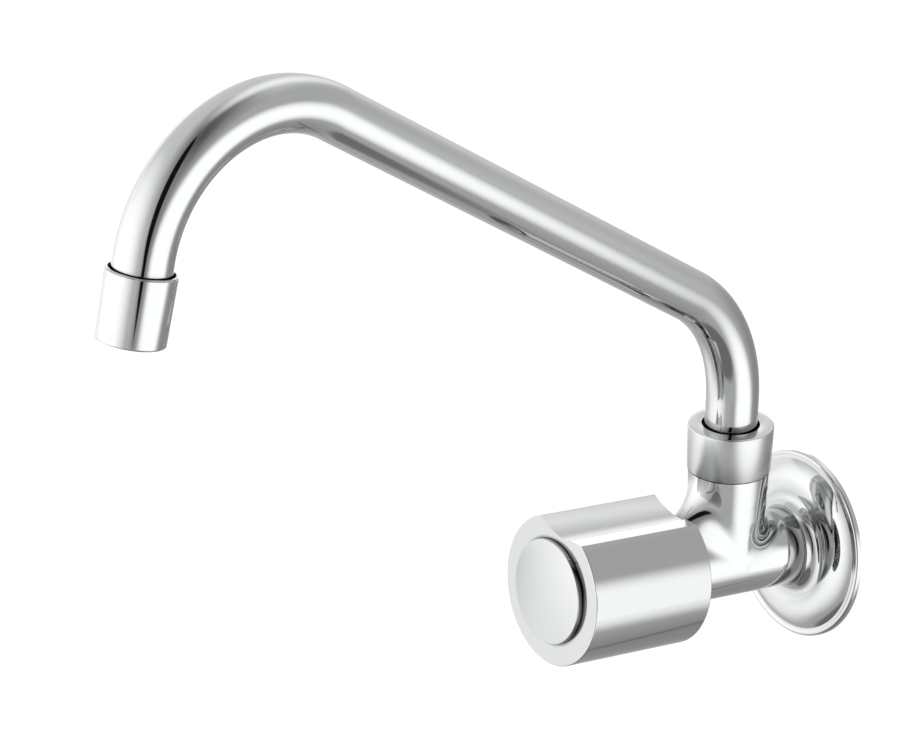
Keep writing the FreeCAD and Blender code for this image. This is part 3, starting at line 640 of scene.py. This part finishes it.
pen = start_section((0, 0, cap_top + cap_dome))
pen = arc_to(pen, dome_centre, clockwise, dome_angle, steps=40)
pen = lines_to(pen,
               (cap_radius, cap_seat),
               (cap_radius - cap_wall, cap_seat),
               (cap_radius - cap_wall, cap_top - cap_wall),
               (snap_ring_radius, cap_top - cap_wall),
               (snap_ring_radius, snap_ring_foot),
               (snap_ring_bore, snap_ring_foot),
               (snap_ring_bore, cap_top - cap_wall),
               (0, cap_top - cap_wall))
close_and_turn(steps=160)
select_ring(cap_radius, cap_top)
bpy.ops.mesh.bevel(offset=0.35 * mm, segments=4)
cap = place_piece("domed_knob_cap", barrel_frame, "handle")
finish_with(cap, buffed_chrome)
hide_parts("handle_cap")

# --- Spout tube ----------------------------------------------------------------------------------
# 18 mm brass tube with a 1.2 mm wall, bent twice on a mandrel and polished before plating, which
# takes 0.05 mm off. It rises from the neck, leans out over the sink and turns down to the outlet.

tube_radius = 8.95 * mm
tube_wall = 1.2 * mm
tube_foot = 41.2 * mm
riser_top = 60.2 * mm
lower_bend = 51.6 * mm
arm_angle = math.radians(32.7)
arm_length = 176.2 * mm
upper_bend = 44.7 * mm
outlet_angle = math.radians(-77.3)
outlet_in_sleeve = 7.5 * mm
outlet_straight = 3.9 * mm + outlet_in_sleeve
spout_swing = math.radians(7.4)
spout_frame = neck_frame @ Matrix.Rotation(spout_swing, 4, "Z")
bend_axis = (1, 0, 0)


def along(angle):
    """Direction in the spout's plane: 0 is forwards, a quarter turn is up."""
    return Vector((0, -math.cos(angle), math.sin(angle)))


def bend_tube(end, from_angle, to_angle, radius, steps):
    """Spins the tube's last ring round a bend and gives the new end."""
    centre = end + along(from_angle - math.pi / 2) * radius
    bpy.ops.mesh.spin(steps=steps, angle=to_angle - from_angle, center=centre, axis=bend_axis)
    return centre + along(to_angle + math.pi / 2) * radius


def run_tube(end, angle, length):
    """Extrudes the tube's last ring straight on and gives the new end."""
    step = along(angle) * length
    bpy.ops.mesh.extrude_region_move(TRANSFORM_OT_translate={"value": step})
    return end + step


bpy.ops.object.select_all(action="DESELECT")
bpy.ops.mesh.primitive_circle_add(vertices=128, radius=tube_radius, location=(0, 0, tube_foot))
bpy.ops.object.transform_apply(location=True, rotation=True, scale=True)
bpy.ops.object.mode_set(mode="EDIT")
bpy.ops.mesh.select_mode(type="EDGE")
bpy.ops.mesh.select_all(action="SELECT")
end = Vector((0, 0, tube_foot))
end = run_tube(end, math.pi / 2, riser_top - tube_foot)
end = bend_tube(end, math.pi / 2, arm_angle, lower_bend, steps=64)
end = run_tube(end, arm_angle, arm_length)
end = bend_tube(end, arm_angle, outlet_angle, upper_bend, steps=96)
end = run_tube(end, outlet_angle, outlet_straight)
bpy.ops.mesh.select_all(action="SELECT")
bpy.ops.mesh.normals_make_consistent(inside=False)
bpy.ops.object.mode_set(mode="OBJECT")
wall = bpy.context.object.modifiers.new("tube wall", "SOLIDIFY")
wall.thickness = tube_wall
wall.offset = -1
bpy.ops.object.modifier_apply(modifier=wall.name)
bpy.ops.object.mode_set(mode="EDIT")
spout = place_piece("bent_spout_tube", spout_frame, "spout")
finish_with(spout, polished_chrome)
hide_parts("spout_tube")

# --- Jet plate and screens -----------------------------------------------------------------------
# The plastic plate splits the water into jets, and three discs of steel mesh soften them. They sit
# on the sleeve's inner ledge and are seen only from below.

# Moulded acetal: milky plastic with a slight sheen and flow clouds of about 2 mm.
moulded_acetal = bpy.data.materials.new("moulded_acetal")
moulded_acetal.use_nodes = True
tree = moulded_acetal.node_tree
acetal = tree.nodes["Principled BSDF"]
acetal.inputs["Base Color"].default_value = linear("#e4e3dd")
place = add_node(tree, "ShaderNodeTexCoord")
flow = add_node(tree, "ShaderNodeTexNoise", {"Vector": place.outputs["Object"]},
                {"Scale": 1 / (2 * mm), "Detail": 2.0})
amount = add_node(tree, "ShaderNodeMapRange", {"Value": flow.outputs["Fac"]},
                  {"To Min": 0.28, "To Max": 0.42})
tree.links.new(amount.outputs["Result"], acetal.inputs["Roughness"])
finish_node("aerator_insert", moulded_acetal)

# Woven stainless mesh: round wires every 0.6 mm both ways, with dark holes between them.
woven_mesh = bpy.data.materials.new("woven_stainless_mesh")
woven_mesh.use_nodes = True
tree = woven_mesh.node_tree
wire = tree.nodes["Principled BSDF"]
wire.inputs["Metallic"].default_value = 1.0
wire.inputs["Roughness"].default_value = 0.3
place = add_node(tree, "ShaderNodeTexCoord")
wires = [add_node(tree, "ShaderNodeTexWave", {"Vector": place.outputs["Object"]},
                  {"Scale": math.pi / 10 / (0.6 * mm)}, bands_direction=direction)
         for direction in ("X", "Y")]
weave = add_node(tree, "ShaderNodeMath", {0: wires[0].outputs["Fac"], 1: wires[1].outputs["Fac"]},
                 operation="MAXIMUM")
holes = add_node(tree, "ShaderNodeMapRange", {"Value": weave.outputs[0]},
                 {"From Min": 0.45, "From Max": 0.6})
mesh_colour = add_node(tree, "ShaderNodeMix", {0: holes.outputs["Result"]},
                       {6: linear("#26282a"), 7: linear("#c4c4c2")}, data_type="RGBA")
bump = add_node(tree, "ShaderNodeBump", {"Height": weave.outputs[0]},
                {"Strength": 0.8, "Distance": 0.1 * mm})
tree.links.new(mesh_colour.outputs[2], wire.inputs["Base Color"])
tree.links.new(bump.outputs["Normal"], wire.inputs["Normal"])
finish_node("aerator_screens", woven_mesh)

# --- Aerator -------------------------------------------------------------------------------------
# A plated sleeve screwed onto the outlet. It tapers slightly, has a chamfered top and a rounded
# mouth, and holds the screens on an inner ledge.

sleeve_length = 20.9 * mm
sleeve_top_radius = 10.7 * mm
sleeve_foot_radius = 10.4 * mm
sleeve_bore = 9.75 * mm
ledge_bore = 8.2 * mm
ledge_height = 2.6 * mm
outlet_turn = Matrix.Rotation(math.pi / 2 - outlet_angle, 4, "X")
sleeve_start = end - along(outlet_angle) * outlet_in_sleeve
outlet_frame = spout_frame @ Matrix.Translation(sleeve_start) @ outlet_turn

pen = start_section((sleeve_bore, 0, 0))
pen = lines_to(pen,
               (sleeve_top_radius, 0),
               (sleeve_foot_radius, sleeve_length),
               (ledge_bore, sleeve_length),
               (ledge_bore, sleeve_length - ledge_height),
               (sleeve_bore, sleeve_length - ledge_height),
               (sleeve_bore, 0))
close_and_turn(steps=160)
select_ring(sleeve_top_radius, 0)
bpy.ops.mesh.bevel(offset=0.45 * mm, segments=1)
select_ring(sleeve_foot_radius, sleeve_length)
bpy.ops.mesh.bevel(offset=0.7 * mm, segments=5)
sleeve = place_piece("aerator_sleeve", outlet_frame, "spout")
finish_with(sleeve, polished_chrome)
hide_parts("aerator_housing")

# --- Studio --------------------------------------------------------------------------------------
# The tap hangs over a white paper floor, under one soft lamp, before a white background. The camera
# stands and leans as the photographer's did, and what the chrome mirrors hangs in a round tent.

camera_azimuth = 54.783
camera_elevation = 20.231
camera_roll = math.radians(5.494)
camera_distance = 1145.39 * mm
aim_right = -136.156 * mm
aim_up = 58.891 * mm
focal_pixels = 3358.43
photo_width = 900
photo_height = 734
centre_x = 424.515
centre_y = 345.904


def toward(azimuth, elevation):
    """Direction from the tap: azimuth 0 is straight out from the wall, and 90 is to the right."""
    around = math.radians(azimuth)
    rise = math.radians(elevation)
    return Vector((math.sin(around) * math.cos(rise), -math.cos(around) * math.cos(rise),
                   math.sin(rise)))


backwards = toward(camera_azimuth, camera_elevation)
level_right = toward(camera_azimuth + 90, 0)
level_up = backwards.cross(level_right)
right = level_right * math.cos(camera_roll) + level_up * math.sin(camera_roll)
up = level_up * math.cos(camera_roll) - level_right * math.sin(camera_roll)
aim = level_right * aim_right + Vector((0, 0, aim_up))
bpy.ops.object.select_all(action="DESELECT")
bpy.ops.object.camera_add()
camera = bpy.context.object
camera.matrix_world = place_matrix(right, up, backwards, aim + backwards * camera_distance)
camera.data.sensor_width = 36
camera.data.lens = focal_pixels / photo_width * camera.data.sensor_width
camera.data.shift_x = (photo_width / 2 - centre_x) / photo_width
camera.data.shift_y = (centre_y - photo_height / 2) / photo_width
camera.data.clip_end = 20
bpy.context.scene.camera = camera

# White background: plain white at strength 1.
world = bpy.data.worlds.new("studio")
world.use_nodes = True
bpy.context.scene.world = world
world.node_tree.nodes["Background"].inputs["Color"].default_value = (1, 1, 1, 1)

# White paper: matt, well under the tap, and clear from below, so it never hides the tap there.
floor_size = 12
floor_level = -0.35
bpy.ops.object.select_all(action="DESELECT")
bpy.ops.mesh.primitive_plane_add(size=floor_size, location=(0, 0, floor_level))
bpy.ops.object.transform_apply(location=True, rotation=True, scale=True)
floor = bpy.context.object
floor.name = "paper_floor"
floor.visible_glossy = False
paper = bpy.data.materials.new("white_paper")
paper.use_nodes = True
tree = paper.node_tree
sheet = tree.nodes["Principled BSDF"]
sheet.inputs["Base Color"].default_value = linear("#ffffff")
sheet.inputs["Roughness"].default_value = 0.9
sheet.inputs["Specular IOR Level"].default_value = 0.0
side_seen = add_node(tree, "ShaderNodeNewGeometry")
clear = add_node(tree, "ShaderNodeBsdfTransparent")
one_sided = add_node(tree, "ShaderNodeMixShader", {0: side_seen.outputs["Backfacing"],
                                                   1: sheet.outputs[0], 2: clear.outputs[0]})
tree.links.new(one_sided.outputs[0], tree.nodes["Material Output"].inputs["Surface"])
finish_with(floor, paper)

# One soft lamp overhead gives the floor a faint shadow.
tap_middle = Vector((0, -0.15, 0.08))
lamp_stand = Vector((0.4, -0.7, 1.1))
bpy.ops.object.light_add(type="AREA", location=lamp_stand)
lamp = bpy.context.object
lamp.name = "top_softbox"
lamp.data.shape = "SQUARE"
lamp.data.size = 1.2
lamp.data.energy = 4.0
lamp.rotation_euler = (tap_middle - lamp_stand).to_track_quat("-Z", "Y").to_euler()
lamp.visible_glossy = False

# The tap hangs in a round light tent that only reflections see. Cards hang in it one over another,
# each with a soft edge: softboxes from the front and the side, and grey and black boards.
tent_radius = 1.2
least_depth = 0.001
bpy.ops.object.select_all(action="DESELECT")
bpy.ops.mesh.primitive_uv_sphere_add(segments=96, ring_count=48, radius=tent_radius,
                                     location=tap_middle)
tent = bpy.context.object
tent.name = "light_tent"
tent.visible_camera = False
tent.visible_diffuse = False
tent.visible_shadow = False
tent_cloth = bpy.data.materials.new("tent_cloth_and_cards")
tent_cloth.use_nodes = True
cloth = tent_cloth.node_tree
cloth.nodes.remove(cloth.nodes["Principled BSDF"])
spot = add_node(cloth, "ShaderNodeTexCoord").outputs["Object"]
parts = add_node(cloth, "ShaderNodeSeparateXYZ", {"Vector": spot})
height = add_node(cloth, "ShaderNodeMapRange", {"Value": parts.outputs["Z"]},
                  {"From Min": -tent_radius, "From Max": tent_radius})
ramp = add_node(cloth, "ShaderNodeValToRGB", {"Fac": height.outputs["Result"]})
greys_upwards = [0.56, 0.66, 0.77, 0.95, 0.87]
while len(ramp.color_ramp.elements) < len(greys_upwards):
    ramp.color_ramp.elements.new(0.5)
for step, (element, grey) in enumerate(zip(ramp.color_ramp.elements, greys_upwards)):
    element.position = step / (len(greys_upwards) - 1)
    element.color = (grey, grey, grey, 1)
light = ramp.outputs["Color"]


def hang_card(light, azimuth, elevation, half_width, half_height, core, brightness, tilt=0):
    """Lays one oval card over the light so far. It is even within its core and fades outwards."""
    outward = toward(azimuth, elevation)
    turn = Matrix.Rotation(math.radians(tilt), 3, outward)
    side = turn @ toward(azimuth + 90, 0)
    upward = side.cross(outward)
    depth = add_node(cloth, "ShaderNodeVectorMath", {0: spot}, {1: outward},
                     operation="DOT_PRODUCT").outputs["Value"]
    across = [add_node(cloth, "ShaderNodeVectorMath", {0: spot},
                       {1: direction * tent_radius / half_size}, operation="DOT_PRODUCT")
              for direction, half_size in ((side, half_width), (upward, half_height))]
    flat = add_node(cloth, "ShaderNodeCombineXYZ", {"X": across[0].outputs["Value"],
                                                    "Y": across[1].outputs["Value"]})
    offset = add_node(cloth, "ShaderNodeVectorMath", {0: flat.outputs[0]}, operation="LENGTH")
    ahead = add_node(cloth, "ShaderNodeMath", {0: depth}, {1: least_depth}, operation="MAXIMUM")
    oval = add_node(cloth, "ShaderNodeMath", {0: offset.outputs["Value"], 1: ahead.outputs[0]},
                    operation="DIVIDE")
    cover = add_node(cloth, "ShaderNodeMapRange", {"Value": oval.outputs[0]},
                     {"From Min": 1.0, "From Max": core}, interpolation_type="SMOOTHSTEP")
    return add_node(cloth, "ShaderNodeMix", {0: cover.outputs["Result"], 6: light},
                    {7: (brightness, brightness, brightness, 1)}, data_type="RGBA").outputs[2]


# Each line: the light so far, the card's azimuth and elevation, its half width and half height as
# shares of its distance, its even core and its brightness.
grey_wall_behind = hang_card(light, 138, 37, 1.9, 0.8, 0.36, 0.65)
dark_gap_overhead = hang_card(grey_wall_behind, 62, 52, 1.05, 2.0, 0.0, 0.13)
dark_table = hang_card(dark_gap_overhead, 77, -76, 0.64, 0.82, 0.7, 0.23)
low_back_board = hang_card(dark_table, -173, -29, 1.06, 1.5, 0.32, 0.4)
high_back_card = hang_card(low_back_board, -148, 64, 0.41, 1.5, 0.0, 1.5)
left_card = hang_card(high_back_card, -91, -1, 2.0, 0.6, 0.68, 1.28)
back_left_card = hang_card(left_card, -127, -2, 0.5, 0.72, 0.45, 1.75)
low_left_card = hang_card(back_left_card, -68, -42, 0.8, 0.6, 0.0, 1.35)
front_softbox = hang_card(low_left_card, -20, -7, 2.0, 1.75, 0.15, 1.8)
side_softbox = hang_card(front_softbox, 110, -12, 1.12, 1.0, 0.45, 1.75)
shade_at_camera = hang_card(side_softbox, 60, 8, 0.42, 1.3, 0.2, 0.35)
black_board_at_camera = hang_card(shade_at_camera, 53, 22, 0.165, 1.08, 0.8, 0.01, tilt=9)
table_edge = hang_card(black_board_at_camera, -170, -60, 0.9, 0.014, 0.3, 0.08, tilt=-18)
glow = add_node(cloth, "ShaderNodeEmission", {"Color": table_edge})
cloth.links.new(glow.outputs[0], cloth.nodes["Material Output"].inputs["Surface"])
finish_with(tent, tent_cloth)

bpy.context.scene.view_settings.view_transform = "Standard"
